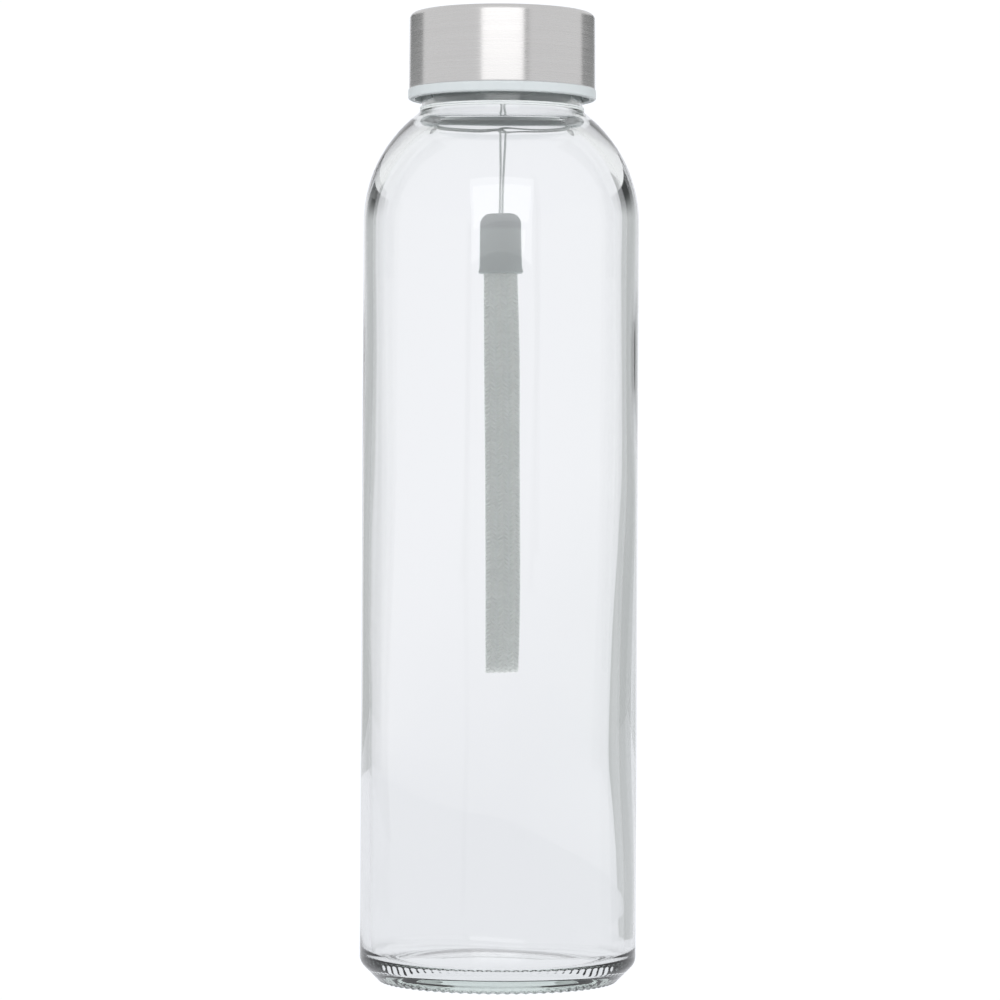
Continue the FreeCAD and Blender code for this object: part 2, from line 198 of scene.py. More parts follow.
def glassOutline():
    size = glass
    outer, inner = size["radius"], size["radius"] - size["wall"]
    dome = size["domeHeight"]
    # hollow under the base and the ring that it stands on
    pushCurve = (size["ringInner"] ** 2 + (size["pushUp"] - size["ringLip"]) ** 2) \
        / (2 * (size["pushUp"] - size["ringLip"]))
    pushCentre = size["pushUp"] - pushCurve
    points = [(r, pushCentre + math.sqrt(pushCurve ** 2 - r ** 2))
              for r in (0, 3, 7, 11, 15, 19, 22, size["ringInner"])]
    points += [(24.5, 0.5), (24.9, 0.18)] + [(r, 0.0) for r in evenly(25.25, 26.75, 5)]
    points += [(27.0, 0.06), (27.3, 0.3), (27.6, 0.6), (27.9, 0.9), (29.2, 2.2)]
    # heel, body, shoulder and neck outside
    lean = size["heelRound"] * math.tan(math.radians(22.5))
    points += arc(outer - size["heelRound"], size["heel"] + lean, size["heelRound"], -45, 0, 6)
    neckCentre = size["neck"] + size["neckRound"]
    reach = outer + size["neckRound"]
    neckHeight = dome + math.sqrt(reach ** 2 - neckCentre ** 2)
    lift = math.degrees(math.asin((neckHeight - dome) / reach))
    points += arc(0, dome, outer, 0, lift, 26)
    points += arc(neckCentre, neckHeight, size["neckRound"], 180 + lift, 180, 6)[1:]
    points += [(size["neck"], z) for z in evenly(200.5, 204.5, 3)]
    points += [(size["neck"], z) for z in evenly(204.8, 214.4, 32)]
    # rim, bore, and the inside down to the floor
    rimHeight = size["rim"] - size["rimRound"]
    points += arc(size["neck"] - size["rimRound"], rimHeight, size["rimRound"], 0, 90, 5)
    points += arc(size["bore"] + size["rimRound"], rimHeight, size["rimRound"], 90, 180, 5)
    # the inside of the shoulder is flatter than the outside, so the glass thickens up to the neck
    rise = size["innerRise"]
    corner = Vector((size["bore"], dome + rise * math.sqrt(1 - (size["bore"] / inner) ** 2)))
    meet = math.degrees(math.acos((size["bore"] + size["innerNeckRound"]) / inner))
    shoulder = [Vector((inner * math.cos(math.radians(a)), dome + rise * math.sin(math.radians(a))))
                for a in evenly(meet, 0, 24)]
    above = corner + Vector((0, size["innerNeckRound"]))
    points += [(size["bore"], z) for z in evenly(213, above.y + 1, 3)]
    for share in evenly(0, 1, 7):
        bend = above.lerp(corner, share).lerp(corner.lerp(shoulder[0], share), share)
        points.append(tuple(bend))
    points += [tuple(point) for point in shoulder[1:]]
    # straight wall, heel and the crowned floor
    floorCurve = (inner ** 2 + (size["floor"] - size["floorEdge"]) ** 2) \
        / (2 * (size["floor"] - size["floorEdge"]))
    floorCentre = size["floor"] - floorCurve
    heelCentre = inner - size["innerHeelRound"]
    heelHeight = floorCentre + math.sqrt((floorCurve + size["innerHeelRound"]) ** 2 - heelCentre ** 2)
    tilt = math.degrees(math.asin(heelCentre / (floorCurve + size["innerHeelRound"])))
    points += [(inner, z) for z in evenly(169, heelHeight + 4, 34)]
    points += arc(heelCentre, heelHeight, size["innerHeelRound"], 0, -90 - tilt, 10)
    points += [(r, floorCentre + math.sqrt(floorCurve ** 2 - r ** 2)) for r in (20, 16, 12, 8, 4, 0)]
    return points


def makeGlassBottle():
    piece = spinPiece("glassBottle", glassOutline(), glass["columns"], sharp=60)
    size, thread = glass, glass["thread"]
    inner = size["radius"] - size["wall"]

    def shape(point):
        flat = math.hypot(point.x, point.y)
        if point.z > 204.5 and abs(flat - size["neck"]) < 0.05:
            return atRadius(point, flat + thread["depth"] * threadRise(point, thread))
        if point.z < 1.2 and size["stippleInner"] < flat < size["stippleOuter"]:
            turn = math.atan2(point.y, point.x) * size["stipples"]
            middle = (size["stippleInner"] + size["stippleOuter"]) / 2
            fade = smoothStep(2.2 - 2.2 * abs(flat - middle) / (size["stippleOuter"] - middle))
            point.z += size["stippleDepth"] * fade * (0.5 - 0.5 * math.cos(turn))
            return point
        fromDome = math.hypot(flat, max(0, point.z - size["domeHeight"]))
        if size["waveFrom"] < point.z < size["waveTo"] and fromDome < inner + 0.6:
            spot = Vector((point.x / size["waveAcross"], point.y / size["waveAcross"],
                           point.z / size["waveUp"]))
            fade = (smoothStep((point.z - size["waveFrom"]) / 12)
                    * smoothStep((size["waveTo"] - point.z) / 20))
            shift = np.interp(point.z, *zip(*size["offCentre"])) * point.x / inner
            return atRadius(point, flat + size["waviness"] * fade * noise.noise(spot) - shift)
        return point

    movePoints(piece, shape)
    return piece


# soda-lime glass, blown and fire-polished: clear through the wall, green-grey along its thickness
def makeSodaLimeGlass():
    material, tree, shader = newMaterial("sodaLimeGlass", {
        "Base Color": (1, 1, 1, 1), "Roughness": 0.0, "IOR": 1.52, "Transmission Weight": 1.0})
    depth = addNode(tree, "ShaderNodeVolumeAbsorption", {"Color": linear("#b4cdc4"), "Density": 12})
    tree.links.new(depth.outputs["Volume"], tree.nodes["Material Output"].inputs["Volume"])
    return material


print("glass bottle")
glassBottle = makeGlassBottle()
finishWith(glassBottle, makeSodaLimeGlass())
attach(glassBottle, "bottle")
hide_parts("glass_bottle")


lid = {
    "top": 221.1, "bottom": 203.7, "topRadius": 21.2, "bottomRadius": 21.3, "wall": 0.45,
    "round": 1.4, "hem": 0.12, "columns": 256,
}


def makeLidShell():
    size = lid
    wall, turn = size["wall"], size["round"]
    points = [(r, size["top"] - wall) for r in evenly(0, size["topRadius"] - turn, 5)]
    points += arc(size["topRadius"] - turn, size["top"] - turn, turn - wall, 90, 0, 6)[1:]
    points += [(size["bottomRadius"] - wall, size["bottom"] + 0.3)]
    points += arc(size["bottomRadius"] - wall + size["hem"], size["bottom"] + size["hem"],
                  size["hem"], 180, 270, 3)
    points += arc(size["bottomRadius"] - size["hem"], size["bottom"] + size["hem"],
                  size["hem"], 270, 360, 3)
    points += [(size["bottomRadius"], size["bottom"] + 0.4)]
    points += arc(size["topRadius"] - turn, size["top"] - turn, turn, 0, 90, 8)
    points += [(r, size["top"]) for r in evenly(size["topRadius"] - turn - 1, 0, 5)]
    return spinPiece("lidShell", points, size["columns"], sharp=50)


# 304 stainless, brushed round the side and in circles on top, so bands of light stand upright on it
def makeBrushedStainless():
    brush = {"grooveSize": mm(0.22), "grooveLength": mm(30), "topEdge": mm(220.6)}
    material, tree, shader = newMaterial("brushedStainless", {
        "Metallic": 1.0, "Anisotropic": 0.9, "Anisotropic Rotation": 0.25})
    place = addNode(tree, "ShaderNodeTexCoord").outputs["Object"]
    parts = addNode(tree, "ShaderNodeSeparateXYZ", links={0: place})
    flat = addNode(tree, "ShaderNodeVectorMath", {1: (1, 1, 0)}, {0: place}, operation="MULTIPLY")
    radius = addNode(tree, "ShaderNodeVectorMath", links={0: flat.outputs[0]}, operation="LENGTH")
    onTop = addNode(tree, "ShaderNodeMath", {1: brush["topEdge"]}, {0: parts.outputs["Z"]},
                    operation="GREATER_THAN")
    across = addNode(tree, "ShaderNodeMix", links={
        0: onTop.outputs[0], 2: parts.outputs["Z"], 3: radius.outputs["Value"]})
    spot = addNode(tree, "ShaderNodeCombineXYZ", links={
        "X": parts.outputs["X"], "Y": parts.outputs["Y"], "Z": across.outputs[0]})
    along, fine = 1 / brush["grooveLength"], 1 / brush["grooveSize"]
    grooves = addNode(tree, "ShaderNodeVectorMath", {1: (along, along, fine)},
                      {0: spot.outputs[0]}, operation="MULTIPLY")
    streaks = addNode(tree, "ShaderNodeTexNoise", {"Scale": 1.0, "Detail": 2.0, "Roughness": 0.6},
                      {"Vector": grooves.outputs[0]})
    colour = addNode(tree, "ShaderNodeMix", {6: linear("#cac8c7"), 7: linear("#d8d6d5")},
                     {0: streaks.outputs[0]}, data_type="RGBA")
    rough = addNode(tree, "ShaderNodeMapRange", {1: 0.3, 2: 0.7, 3: 0.24, 4: 0.30},
                    {0: streaks.outputs[0]})
    bump = addNode(tree, "ShaderNodeBump", {"Strength": 0.02, "Distance": mm(0.02)},
                   {"Height": streaks.outputs[0]})
    tangent = addNode(tree, "ShaderNodeTangent", direction_type="RADIAL", axis="Z")
    for socket, source in (("Base Color", colour.outputs[2]), ("Roughness", rough.outputs[0]),
                           ("Normal", bump.outputs[0]), ("Tangent", tangent.outputs[0])):
        tree.links.new(source, shader.inputs[socket])
    return material


print("lid shell")
lidShell = makeLidShell()
finishWith(lidShell, makeBrushedStainless())
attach(lidShell, "lid")
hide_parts("lid_shell")


liner = {
    "rim": 21.5, "rimBottom": 201.4, "rimTop": 203.7, "rimRound": 0.5, "skirt": 20.7, "bore": 19.8,
    "plateTop": 220.6, "plate": 1.75, "beadHeight": 216.9, "beadDepth": 0.6, "edge": 0.9,
    "ribs": 72, "ribDepth": 0.3, "columns": 360,
    "thread": {"pitch": 4.2333, "turns": 1.25, "start": 204.3, "root": 1.7, "crest": 0.6,
               "depth": 0.95, "runOut": 0.06},
}


def makeLidLiner():
    size = liner
    rim, bore, bottom = size["rim"], size["bore"], size["rimBottom"]
    plateBottom = size["plateTop"] - size["plate"]
    points = [(r, plateBottom) for r in (0, 7, 14, bore - 0.3)] + [(bore, plateBottom - 0.3)]
    bead = size["beadHeight"]
    points += [(bore, bead + 0.3), (bore - size["beadDepth"], bead + 0.1),
               (bore - size["beadDepth"], bead - 0.1), (bore, bead - size["beadDepth"])]
    points += [(bore, z) for z in evenly(211.5, 203.2, 30)]
    points += [(bore, 202.4), (bore + 0.15, bottom + 0.15), (bore + 0.35, bottom)]
    points += [(r, bottom) for r in evenly(bore + 0.55, rim - size["rimRound"] - 0.1, 4)]
    points += arc(rim - size["rimRound"], bottom + size["rimRound"], size["rimRound"], 270, 360, 5)
    points += [(rim, size["rimTop"] - 0.2), (rim - 0.2, size["rimTop"])]
    points += [(size["skirt"], size["rimTop"])]
    points += arc(size["skirt"] - size["edge"], size["plateTop"] - size["edge"], size["edge"], 0, 90, 5)
    points += [(r, size["plateTop"]) for r in (14, 7, 0)]
    piece = spinPiece("lidLiner", points, size["columns"])
    thread = size["thread"]

    def shape(point):
        flat = math.hypot(point.x, point.y)
        if 203.1 < point.z < 211.6 and abs(flat - bore) < 0.02:
            return atRadius(point, flat - thread["depth"] * threadRise(point, thread))
        if point.z < bottom + 0.02 and bore + 0.5 < flat < rim - size["rimRound"]:
            turn = math.atan2(point.y, point.x) * size["ribs"]
            point.z += size["ribDepth"] * smoothStep(0.5 + math.cos(turn))
        return point

    movePoints(piece, shape)
    return piece


# polypropylene, natural white, injection moulded: satin and slightly milky, so light bleeds into it
def makeWhitePolypropylene():
    material, tree, shader = newMaterial("whitePolypropylene", {
        "Roughness": 0.34, "IOR": 1.49, "Subsurface Weight": 0.35, "Subsurface Scale": mm(1.5),
        "Subsurface Radius": (1.0, 1.0, 1.0)})
    place = addNode(tree, "ShaderNodeTexCoord").outputs["Object"]
    cloud = addNode(tree, "ShaderNodeTexNoise", {"Scale": 1 / mm(9), "Detail": 2}, {"Vector": place})
    colour = addNode(tree, "ShaderNodeMix", {6: linear("#c4cacb"), 7: linear("#cfd4d6")},
                     {0: cloud.outputs[0]}, data_type="RGBA")
    skin = addNode(tree, "ShaderNodeTexNoise", {"Scale": 1 / mm(0.5), "Detail": 2}, {"Vector": place})
    bump = addNode(tree, "ShaderNodeBump", {"Strength": 0.1, "Distance": mm(0.02)},
                   {"Height": skin.outputs[0]})
    tree.links.new(colour.outputs[2], shader.inputs["Base Color"])
    tree.links.new(bump.outputs[0], shader.inputs["Normal"])
    return material


print("lid liner")
lidLiner = makeLidLiner()
finishWith(lidLiner, makeWhitePolypropylene())
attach(lidLiner, "lid")
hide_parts("lid_liner")


seal = {
    "inner": 14.6, "outer": 19.6, "bottom": 217.35, "top": 218.85, "round": 0.35, "lip": 0.18,
    "trackInner": 15.7, "trackOuter": 18.6, "columns": 192,
}


def makeLidSeal():
    size = seal
    inner, outer, turn = size["inner"], size["outer"], size["round"]
    top, bottom = size["top"], size["bottom"]
    points = arc(inner + turn, bottom + turn, turn, 180, 270, 4)
    trackIn, trackOut = size["trackInner"], size["trackOuter"]    # shallow track pressed by the glass rim
    points += [(trackIn - 0.1, bottom), (trackIn + 0.1, bottom + size["lip"]),
               (trackOut - 0.1, bottom + size["lip"]), (trackOut + 0.1, bottom)]
    points += arc(outer - turn, bottom + turn, turn, 270, 360, 4)
    points += arc(outer - turn, top - turn, turn, 0, 90, 4)
    points += arc(inner + turn, top - turn, turn, 90, 180, 4)
    points += [points[0]]
    return spinPiece("lidSeal", points, size["columns"])


# silicone rubber, moulded: translucent and matt
def makeClearSilicone():
    material, tree, shader = newMaterial("clearSilicone", {
        "Base Color": linear("#e9eeee"), "Roughness": 0.45, "IOR": 1.41,
        "Transmission Weight": 0.45, "Subsurface Weight": 0.2, "Subsurface Scale": mm(1.5)})
    place = addNode(tree, "ShaderNodeTexCoord").outputs["Object"]
    skin = addNode(tree, "ShaderNodeTexNoise", {"Scale": 1 / mm(0.4), "Detail": 2}, {"Vector": place})
    bump = addNode(tree, "ShaderNodeBump", {"Strength": 0.2, "Distance": mm(0.03)},
                   {"Height": skin.outputs[0]})
    tree.links.new(bump.outputs[0], shader.inputs["Normal"])
    return material


print("lid seal")
lidSeal = makeLidSeal()
finishWith(lidSeal, makeClearSilicone())
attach(lidSeal, "seal")
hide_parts("lid_seal")


# The string is one length, doubled and hitched round the neck, with both ends in the ferrule.
def roundNeck(angle, radius, height):  # angle in degrees from the strap's side, towards -X
    turn = math.radians(angle)
    return (-radius * math.sin(turn), radius * math.cos(turn), height)


string = {
    "diameter": 0.7, "around": 18.75, "low": 198.9, "high": 199.4, "stepAngle": 15,
    "spacing": 0.35, "sides": 10, "twist": 1.9, "ridge": 0.10,
    "squeeze": 0.3, "tightWithin": 19.6,    # pulled thin where it lies this near the bottle's axis
    # one strand from inside the ferrule up over the shoulder to the hitch: across, out, up
    "strand": [(0.40, 34.3, 175.2), (0.40, 34.3, 178.2), (0.40, 31.6, 183.4), (0.42, 28.2, 189.2),
               (0.55, 24.2, 194.8), (0.72, 21.3, 198.2), (0.64, 20.3, 199.3)],
    "aside": 0.35,    # the strands hang this far to the right of the ferrule's middle
    # the hitch, as angle round the neck, radius and height: in under the bar, the bar, and out
    "goIn": [(0.5, 19.7, 199.6), (4.5, 19.1, 199.5)],
    "bar": [(346, 18.85, 199.1), (354, 19.5, 198.95), (361.0, 20.25, 198.95), (363.2, 20.5, 199.7),
            (361.0, 20.1, 200.45), (354, 19.35, 200.4), (346, 18.85, 199.9)],
    "comeOut": [(4.5, 19.1, 199.95), (-1.5, 19.7, 199.75)],
}


def stringRoute():
    size = string
    up = [(size["aside"] - across, out, height) for across, out, height in size["strand"]]
    down = [(size["aside"] + across, out, height) for across, out, height in reversed(size["strand"])]
    goIn, bar, comeOut = ([roundNeck(*spot) for spot in size[part]] for part in ("goIn", "bar", "comeOut"))
    turns = [size["stepAngle"] * step for step in range(1, 23)]
    lowTurn = [roundNeck(angle, size["around"], size["low"]) for angle in turns]
    highTurn = [roundNeck(angle, size["around"], size["high"]) for angle in reversed(turns)]
    return up + goIn + lowTurn + bar + highTurn + comeOut + down


def smoothLine(route, spacing, name):  # points along the route's NURBS line, evenly spaced, in metres
    curve = bpy.data.curves.new(name, "CURVE")
    curve.dimensions = "3D"
    curve.resolution_u = 16
    spline = curve.splines.new("NURBS")
    spline.points.add(len(route) - 1)
    for point, place in zip(spline.points, route):
        point.co = (*[mm(value) for value in place], 1)
    spline.order_u = 3
    spline.use_endpoint_u = True
    holder = bpy.data.objects.new(name, curve)
    bpy.context.scene.collection.objects.link(holder)
    bpy.context.view_layer.update()
    mesh = bpy.data.meshes.new_from_object(holder)
    line = np.array([vertex.co for vertex in mesh.vertices])
    bpy.data.objects.remove(holder)
    bpy.data.meshes.remove(mesh)
    bpy.data.curves.remove(curve)
    gaps = np.linalg.norm(np.diff(line, axis=0), axis=1)
    along = np.concatenate([[0], np.cumsum(gaps)])
    count = max(2, round(along[-1] / spacing))
    return np.array([[np.interp(s, along, line[:, axis]) for axis in range(3)]
                     for s in np.linspace(0, along[-1], count + 1)])


def lineLength(line):
    return float(np.linalg.norm(np.diff(line, axis=0), axis=1).sum())


def framesAlong(line, side):  # tangent, side and normal at each point, the side turned as little as can be
    frames = []
    side = Vector(side)
    for index in range(len(line)):
        ahead = Vector(line[min(index + 1, len(line) - 1)] - line[max(index - 1, 0)]).normalized()
        side = (side - ahead * side.dot(ahead)).normalized()
        frames.append((ahead, side, ahead.cross(side)))
    return frames


def meshPiece(name, points, faces):
    mesh = bpy.data.meshes.new(name)
    mesh.from_pydata([tuple(point) for point in points], [], faces)
    mesh.validate()
    mesh.update()
    piece = bpy.data.objects.new(name, mesh)
    bpy.context.scene.collection.objects.link(piece)
    useOnly(piece)
    bpy.ops.object.shade_smooth()
    return piece


def makeString():
    size = string
    line = smoothLine(stringRoute(), mm(size["spacing"]), "stringRoute")
    frames = framesAlong(line, (1, 0, 0))
    sides = size["sides"]
    points, faces = [], []
    for index, (centre, (ahead, side, up)) in enumerate(zip(line, frames)):
        twist = 2 * math.pi * index * size["spacing"] / size["twist"]
        tight = smoothStep((mm(size["tightWithin"]) - math.hypot(centre[0], centre[1])) / mm(0.5))
        radius = mm(size["diameter"] / 2) * (1 - size["squeeze"] * tight)
        for step in range(sides):
            angle = 2 * math.pi * step / sides
            ridge = 1 - size["ridge"] * (0.5 + 0.5 * math.cos(2 * angle + twist))
            points.append(Vector(centre) + (side * math.cos(angle) + up * math.sin(angle))
                          * radius * ridge)
    for ring in range(len(line) - 1):
        for step in range(sides):
            here, there = ring * sides + step, ring * sides + (step + 1) % sides
            faces.append((here, there, there + sides, here + sides))
    faces.append(tuple(reversed(range(sides))))
    faces.append(tuple(range((len(line) - 1) * sides, len(line) * sides)))
    return meshPiece("wristString", points, faces), line


# nylon string, twisted from fine filament: off-white with a silky sheen
def makeNylonString():
    material, tree, shader = newMaterial("nylonString", {
        "Roughness": 0.5, "IOR": 1.53, "Sheen Weight": 0.4, "Sheen Roughness": 0.4})
    place = addNode(tree, "ShaderNodeTexCoord").outputs["Object"]
    strands = addNode(tree, "ShaderNodeTexNoise", {"Scale": 1 / mm(0.35), "Detail": 2}, {"Vector": place})
    colour = addNode(tree, "ShaderNodeMix", {6: linear("#e2e7e7"), 7: linear("#f4f7f7")},
                     {0: strands.outputs[0]}, data_type="RGBA")
    bump = addNode(tree, "ShaderNodeBump", {"Strength": 0.4, "Distance": mm(0.05)},
                   {"Height": strands.outputs[0]})
    tree.links.new(colour.outputs[2], shader.inputs["Base Color"])
    tree.links.new(bump.outputs[0], shader.inputs["Normal"])
    return material


print("string")
wristString, stringLine = makeString()
finishWith(wristString, makeNylonString())
print("string length", round(lineLength(stringLine), 4))
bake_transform(wristString)
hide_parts("string_neck_loop", "string_drop")


# The strap is drawn about the middle of the ferrule's top and hangs a little off plumb.
strap = {"out": 34.3, "top": 177.9, "tilt": 0.83}
strapPlace = (Matrix.Translation((0, mm(strap["out"]), mm(strap["top"])))
              @ Matrix.Rotation(math.radians(-strap["tilt"]), 4, "Y"))

ferrule = {
    "width": 10.9, "height": 15.2, "thickness": 5.0, "corner": 3.0, "edge": 0.55, "lip": 0.25,
    "sag": 0.5, "slotWidth": 9.5, "slotThickness": 2.8, "slotDepth": 9.0,
    "holeWidth": 2.0, "holeThickness": 1.0,
}


def boxAt(name, width, thickness, top, bottom):
    bpy.ops.object.select_all(action="DESELECT")
    bpy.ops.mesh.primitive_cube_add(size=1, location=(0, 0, mm(top + bottom) / 2))
    box = bpy.context.object
    box.name = box.data.name = name
    box.scale = (mm(width), mm(thickness), mm(top - bottom))
    bpy.ops.object.transform_apply(location=True, rotation=True, scale=True)
    return box


def cutWith(piece, tool):
    useOnly(piece)
    cut = piece.modifiers.new("cut", "BOOLEAN")
    cut.object = tool
    cut.operation = "DIFFERENCE"
    cut.solver = "EXACT"
    bpy.ops.object.modifier_apply(modifier="cut")
    bpy.data.objects.remove(tool)


def makeFerrule():
    size = ferrule
    piece = boxAt("strapFerrule", size["width"], size["thickness"], 0, -size["height"])
    near = mm(0.1)
    bpy.ops.object.mode_set(mode="EDIT")
    bpy.ops.mesh.select_all(action="DESELECT")
    bpy.ops.mesh.select_mode(type="EDGE")
    bpy.ops.object.mode_set(mode="OBJECT")
    for edge in piece.data.edges:  # the two top edges that run front to back
        a, b = (piece.data.vertices[v].co for v in edge.vertices)
        edge.select = a.z > -near and b.z > -near and abs(a.x - b.x) < near
    bpy.ops.object.mode_set(mode="EDIT")
    bpy.ops.mesh.bevel(offset=mm(size["corner"]), segments=8, affect="EDGES")
    bpy.ops.object.mode_set(mode="OBJECT")
    slotTop = size["slotDepth"] - size["height"]
    cutWith(piece, boxAt("ferruleSlot", size["slotWidth"], size["slotThickness"],
                         slotTop, -size["height"] - 1))
    cutWith(piece, boxAt("ferruleHole", size["holeWidth"], size["holeThickness"],
                         1, slotTop - 0.5))
    useOnly(piece)
    rounding = piece.modifiers.new("rounding", "BEVEL")
    rounding.width = mm(size["edge"])
    rounding.segments = 4
    rounding.limit_method = "ANGLE"
    rounding.angle_limit = math.radians(40)
    bpy.ops.object.modifier_apply(modifier="rounding")
    bpy.ops.object.mode_set(mode="EDIT")
    for height in evenly(-size["height"] + 0.5, -1.5, 14):
        bpy.ops.mesh.select_all(action="SELECT")
        bpy.ops.mesh.bisect(plane_co=(0, 0, mm(height)), plane_no=(0, 0, 1))
    bpy.ops.object.mode_set(mode="OBJECT")

    def shape(point):
        low = -point.z / size["height"]
        if abs(point.x) > 4.6:    # the lip at the foot of the two narrow sides
            point.x += math.copysign(size["lip"] * smoothStep((low - 0.93) / 0.05), point.x)
        point.z += size["sag"] * (point.x / 5.3) ** 2 * smoothStep((low - 0.6) / 0.4)
        return point

    movePoints(piece, shape)
    piece.data.transform(strapPlace)
    useOnly(piece)
    bpy.ops.object.shade_smooth_by_angle(angle=math.radians(40))
    return piece


# soft PVC, moulded over the strap's ends: matt, grey and a little cloudy, with painted shade on its top
def makeSoftPvc():
    material, tree, shader = newMaterial("softPvc", {"Roughness": 0.5, "IOR": 1.53})
    place = addNode(tree, "ShaderNodeTexCoord").outputs["Object"]
    parts = addNode(tree, "ShaderNodeSeparateXYZ", links={0: place})
    # painted shade: the ferrule's top, above 173.4 mm, is painted a little darker (#b8bdc1)
    paintedShadeTop = addNode(tree, "ShaderNodeMapRange", {1: mm(173.4), 2: mm(174.4), 3: 0.0, 4: 1.0},
                  {0: parts.outputs["Z"]})
    cloud = addNode(tree, "ShaderNodeTexNoise", {"Scale": 1 / mm(5), "Detail": 3}, {"Vector": place})
    body = addNode(tree, "ShaderNodeMix", {6: linear("#bdc3c5"), 7: linear("#ccd3d5")},
                   {0: cloud.outputs[0]}, data_type="RGBA")
    colour = addNode(tree, "ShaderNodeMix", {7: linear("#b8bdc1")},
                     {0: paintedShadeTop.outputs[0], 6: body.outputs[2]}, data_type="RGBA")
    skin = addNode(tree, "ShaderNodeTexNoise", {"Scale": 1 / mm(0.45), "Detail": 2}, {"Vector": place})
    bump = addNode(tree, "ShaderNodeBump", {"Strength": 0.3, "Distance": mm(0.05)},
                   {"Height": skin.outputs[0]})
    tree.links.new(colour.outputs[2], shader.inputs["Base Color"])
    tree.links.new(bump.outputs[0], shader.inputs["Normal"])
    return material


print("ferrule")
strapFerrule = makeFerrule()
finishWith(strapFerrule, makeSoftPvc())
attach(strapFerrule, "strap")
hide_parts("strap_ferrule")


webbing = {
    "width": 9.2, "core": 0.62, "coreInset": 0.45, "selvedge": 0.125, "columns": 6, "rowPitch": 1.0,
    "yarn": (1.55, 0.72, 0.36), "slant": 33,
    # down the near leg, round the fold and up the far leg: out from the strap's middle, and up
    "route": [(-0.7, -6.2), (-0.7, -10.5), (-0.72, -15.0), (-1.25, -19.5), (-1.75, -25.0),
              (-1.85, -40.0), (-1.8, -55.0), (-1.85, -70.0), (-1.8, -85.0), (-1.85, -98.0),
              (-1.9, -104.5), (-1.4, -107.8), (1.4, -107.8), (1.9, -104.5), (1.85, -98.0),
              (1.75, -85.0), (1.85, -70.0), (1.9, -55.0), (1.8, -40.0), (1.7, -25.0),
              (1.25, -19.5), (0.72, -15.0), (0.7, -10.5), (0.7, -6.2)],
}


def makeWebbing():
    size = webbing
    route = [tuple(1000 * (strapPlace @ Vector((0, mm(out), mm(up))))) for out, up in size["route"]]
    line = smoothLine(route, mm(0.5), "webbingRoute")
    acrossSide = (strapPlace.to_3x3() @ Vector((1, 0, 0))).normalized()
    frames = framesAlong(line, acrossSide)
    length = lineLength(line) * 1000
    rows = int(length / size["rowPitch"])

    # one yarn of the braid, then a row of them along each column, the columns leaning by turns
    bpy.ops.object.select_all(action="DESELECT")
    bpy.ops.mesh.primitive_uv_sphere_add(segments=8, ring_count=5, radius=0.5)
    yarn = bpy.context.object
    yarn.name = "braidYarn"
    yarn.rotation_euler = (0, math.radians(90), 0)
    bpy.ops.object.transform_apply(location=True, rotation=True, scale=True)
    yarn.scale = [mm(value) for value in size["yarn"]]
    bpy.ops.object.transform_apply(location=True, rotation=True, scale=True)
    columnWidth = (size["width"] - 2 * size["selvedge"]) / size["columns"]
    columns = []
    for side in (1, -1):
        for column in range(size["columns"]):
            copy = yarn.copy()
            copy.data = yarn.data.copy()
            bpy.context.scene.collection.objects.link(copy)
            lean = size["slant"] * (1 if column % 2 else -1) * side
            middle = (column + 0.5) * columnWidth - size["width"] / 2 + size["selvedge"]
            lift = side * (size["core"] / 2)
            copy.matrix_world = (Matrix.Translation((mm(middle), mm(0.5), mm(lift)))
                                 @ Matrix.Rotation(math.radians(lean), 4, "Z"))
            useOnly(copy)
            bpy.ops.object.transform_apply(location=True, rotation=True, scale=True)
            rowArray = copy.modifiers.new("rows", "ARRAY")
            rowArray.use_relative_offset = False
            rowArray.use_constant_offset = True
            rowArray.constant_offset_displace = (0, mm(size["rowPitch"]), 0)
            rowArray.count = rows
            bpy.ops.object.modifier_apply(modifier="rows")
            columns.append(copy)
    bpy.data.objects.remove(yarn)

    # the flat core that the yarns lie on
    bpy.ops.object.select_all(action="DESELECT")
    bpy.ops.mesh.primitive_grid_add(x_subdivisions=4, y_subdivisions=2 * rows, size=1,
                                    location=(0, mm(length) / 2, 0))
    piece = bpy.context.object
    piece.name = piece.data.name = "strapWebbing"
    piece.scale = (mm(size["width"] - 2 * size["coreInset"]), mm(length), 1)
    bpy.ops.object.transform_apply(location=True, rotation=True, scale=True)
    thicken = piece.modifiers.new("thicken", "SOLIDIFY")
    thicken.thickness = mm(size["core"])
    thicken.offset = 0
    bpy.ops.object.modifier_apply(modifier="thicken")
    for column in columns:
        column.select_set(True)
    bpy.context.view_layer.objects.active = piece
    bpy.ops.object.join()

    # bend the flat band along its route
    for vertex in piece.data.vertices:
        across, along, up = vertex.co
        place = min(max(along / mm(length), 0), 1) * (len(line) - 1)
        index = min(int(place), len(line) - 2)
        share = place - index
        centre = Vector(line[index]).lerp(Vector(line[index + 1]), share)
        (aheadA, sideA, normalA), (aheadB, sideB, normalB) = frames[index], frames[index + 1]
        vertex.co = centre + sideA.lerp(sideB, share) * across + normalA.lerp(normalB, share) * up
    piece.data.update()
    useOnly(piece)
    bpy.ops.object.shade_smooth()
    return piece, line


